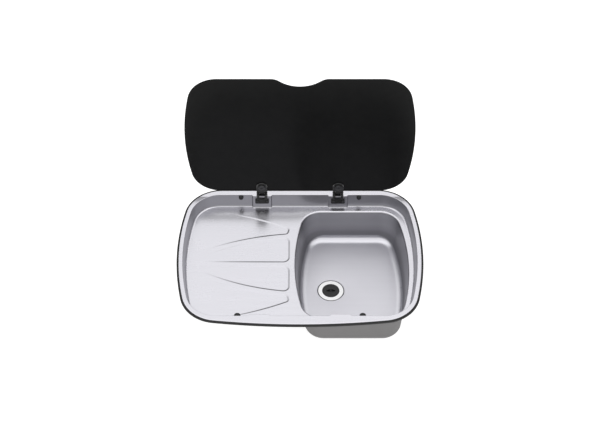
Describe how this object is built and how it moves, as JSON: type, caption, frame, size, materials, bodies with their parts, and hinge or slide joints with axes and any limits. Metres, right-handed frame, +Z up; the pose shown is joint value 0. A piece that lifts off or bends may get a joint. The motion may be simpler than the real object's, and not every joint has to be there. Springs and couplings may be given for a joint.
{
  "type": "caravan kitchen sink with glass lid",
  "caption": "Pressed steel caravan sink with a drainer and one bowl, a folding black glass lid on hinges, rubber lid buffers, a rim seal and a plug waste.",
  "frame": {"origin": "centre of the rim's outline on the worktop's top face, where the rim seal rests", "axes": "+X to the right along the worktop, +Y to the rear where the lid is hinged, +Z up out of the cut-out"},
  "size_m": [0.6018, 0.4417, 0.59],
  "materials": {
    "satin_steel": "satin",
    "polished_steel": "polished",
    "plain_steel": "satin",
    "dark_screw": "satin",
    "black_metal": "satin",
    "black_glass": "polished",
    "black_rubber": "matte",
    "plug_rubber": "satin",
    "black_plastic": "matte",
    "insert_brass": "satin"
  },
  "bodies": {
    "root": {"sink_shell": "satin_steel", "rim_seal": "black_rubber", "hinge_base_left": "black_metal", "hinge_base_right": "black_metal", "backing_plate_left": "plain_steel", "backing_plate_right": "plain_steel", "hinge_pin_left": "plain_steel", "hinge_pin_right": "plain_steel", "base_screws": "plain_steel", "base_nuts": "plain_steel", "centre_screw": "plain_steel", "rear_buffer_left": "black_rubber", "rear_buffer_right": "black_rubber", "front_buffer_left": "black_rubber", "front_buffer_right": "black_rubber", "waste_flange": "polished_steel", "upper_gasket": "black_rubber", "lower_gasket": "black_rubber", "waste_body": "black_plastic", "thread_insert": "insert_brass"},
    "lid": {"glass_lid": "black_glass", "hinge_leaf_left": "black_metal", "hinge_leaf_right": "black_metal", "leaf_pad_left": "black_rubber", "leaf_pad_right": "black_rubber", "cap_pad_left": "black_rubber", "cap_pad_right": "black_rubber", "hinge_cap_left": "black_metal", "hinge_cap_right": "black_metal", "clamp_screws": "dark_screw", "glass_bushes": "black_plastic"},
    "plug": {"drain_plug": "plug_rubber"}
  },
  "joints": [
    {"name": "lid_hinge", "type": "hinge", "parent": "root", "child": "lid", "pos_m": [0, 0.20455, 0.01095], "axis": [1, 0, 0], "range_deg": [0, 90]},
    {"name": "plug_lift", "type": "slide", "parent": "root", "child": "plug", "axis": [0, 0, 1], "range_m": [0, 0.12]}
  ]
}
